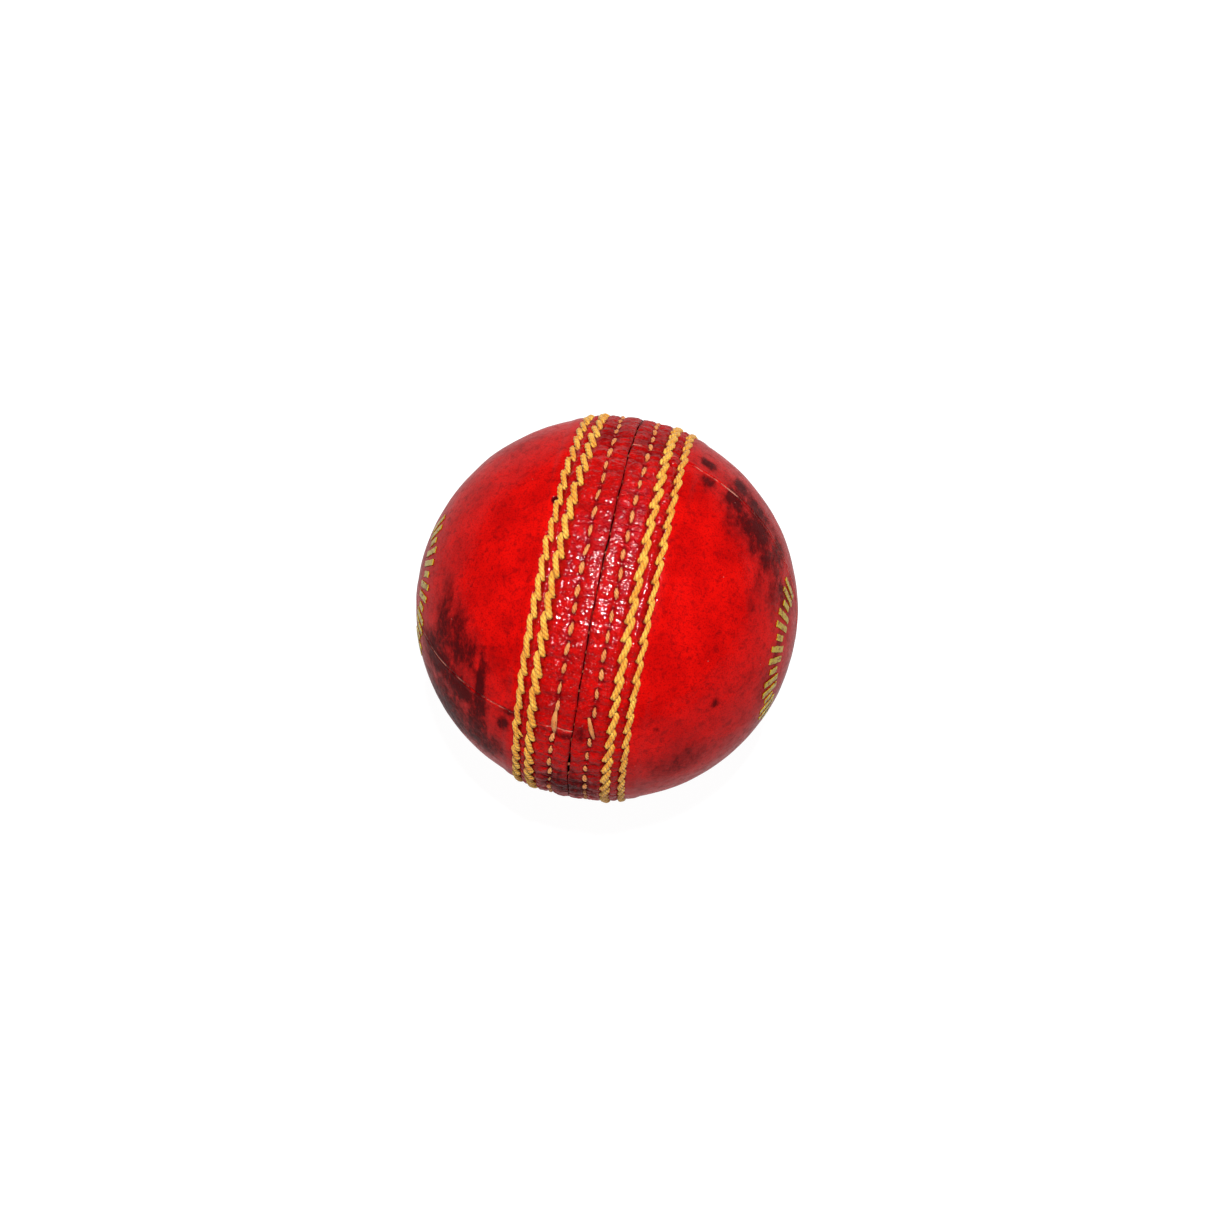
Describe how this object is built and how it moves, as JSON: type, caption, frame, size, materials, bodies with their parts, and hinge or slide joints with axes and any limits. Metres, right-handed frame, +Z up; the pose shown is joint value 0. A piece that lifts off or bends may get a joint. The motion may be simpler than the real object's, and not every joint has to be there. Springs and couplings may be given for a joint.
{
  "type": "cricket ball",
  "caption": "Hand-sewn four-piece leather ball with a raised stitched seam and a wound wool and cork core.",
  "frame": {"origin": "the ball's centre", "axes": "+X along the axis of the main seam, whose plane is YZ; +Z up"},
  "size_m": [0.0718, 0.0722, 0.0722],
  "materials": {
    "leather": "glossy lacquered alum-tanned leather, deep red",
    "heavy_thread": "waxed twisted linen thread, golden",
    "closing_thread": "waxed linen thread, pale orange, drawn down into the leather",
    "quarter_thread": "fine unbleached linen thread",
    "lining": "thin undyed split leather",
    "wool": "damp-wound undyed worsted yarn",
    "cork": "thin cork slips",
    "cork_rubber": "moulded cork granules in rubber",
    "gilt": "worn gold foil blocked on the leather"
  },
  "bodies": {
    "root": {"core_nucleus": "cork_rubber", "wool_winding_1": "wool", "wool_winding_2": "wool", "wool_winding_3": "wool", "wool_winding_4": "wool", "wool_winding_5": "wool", "cork_layer_1": "cork", "cork_layer_2": "cork", "cork_layer_3": "cork", "cork_layer_4": "cork", "lining_left": "lining", "quarter_thread_left": "quarter_thread", "cover_quarter_left_upper": "leather", "cover_quarter_left_lower": "leather", "stitch_row_left_outer": "heavy_thread", "stitch_row_left_middle": "heavy_thread", "gilt_marks_left": "gilt", "lining_right": "lining", "quarter_thread_right": "quarter_thread", "cover_quarter_right_front": "leather", "cover_quarter_right_rear": "leather", "stitch_row_right_outer": "heavy_thread", "stitch_row_right_middle": "heavy_thread", "gilt_marks_right": "gilt", "closing_stitch_thread": "closing_thread"}
  },
  "joints": []
}
